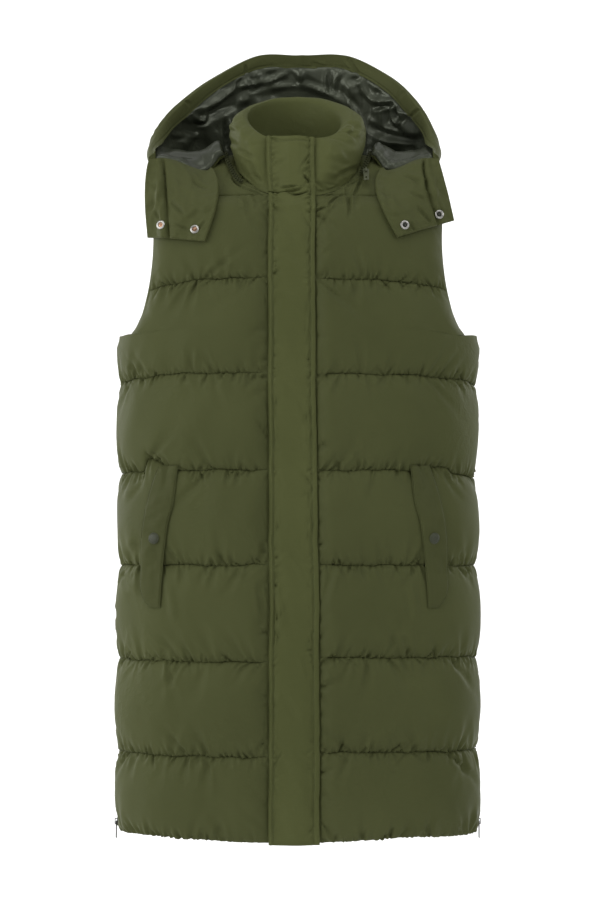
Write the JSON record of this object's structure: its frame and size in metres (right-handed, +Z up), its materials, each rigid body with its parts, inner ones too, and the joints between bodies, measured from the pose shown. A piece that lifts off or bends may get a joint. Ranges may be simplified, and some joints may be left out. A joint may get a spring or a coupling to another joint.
{
  "type": "hooded puffer vest",
  "caption": "Long sleeveless padded vest with a stand collar, a zip-off hood lying down behind, a front placket, side pockets and side zips, in the hollow form it has when worn.",
  "frame": {"origin": "middle of the neck opening at the height of the high shoulder points, where the wearer's shoulders carry the vest", "axes": "+Z up, the front faces -Y, and the wearer's left is +X"},
  "size_m": [0.4732, 0.3164, 1.043],
  "materials": {
    "shell_cloth": "matt woven polyester, olive green",
    "lining_cloth": "satin, dark green grey",
    "bright_metal": "bright metal snap",
    "dark_metal": "dark painted metal"
  },
  "bodies": {
    "vest": {"front_right": "shell_cloth", "front_left": "shell_cloth", "back": "shell_cloth", "collar": "shell_cloth", "placket": "shell_cloth", "hood_right": "shell_cloth", "hood_centre": "shell_cloth", "hood_left": "shell_cloth", "hood_band": "shell_cloth", "hood_flap_right": "shell_cloth", "hood_flap_left": "shell_cloth", "pocket_welt_right": "shell_cloth", "pocket_welt_left": "shell_cloth", "hood_lining": "lining_cloth", "hood_snap_right_inner": "bright_metal", "hood_snap_right_outer": "bright_metal", "hood_snap_left_inner": "bright_metal", "hood_snap_left_outer": "bright_metal", "pocket_snap_right": "dark_metal", "pocket_snap_left": "dark_metal", "front_zip": "dark_metal", "hood_zip": "dark_metal", "hood_zip_slider": "dark_metal", "side_zip_right": "dark_metal", "side_zip_left": "dark_metal", "side_zip_slider_right": "dark_metal", "side_zip_slider_left": "dark_metal"},
    "hood_pull": {"hood_zip_pull": "dark_metal"},
    "side_pull_right": {"side_zip_pull_right": "dark_metal"},
    "side_pull_left": {"side_zip_pull_left": "dark_metal"}
  },
  "joints": [
    {"name": "side_pull_right_swing", "type": "hinge", "parent": "vest", "child": "side_pull_right", "pos_m": [-0.2344, 0, -0.862], "axis": [0, 1, 0], "range_deg": [0, 150]},
    {"name": "side_pull_left_swing", "type": "hinge", "parent": "vest", "child": "side_pull_left", "pos_m": [0.2344, 0, -0.862], "axis": [0, -1, 0], "range_deg": [0, 150]},
    {"name": "hood_pull_swing", "type": "hinge", "parent": "vest", "child": "hood_pull", "pos_m": [0.0874, -0.0638, -0.0263], "axis": [-1, 0, 0], "range_deg": [0, 120]}
  ]
}
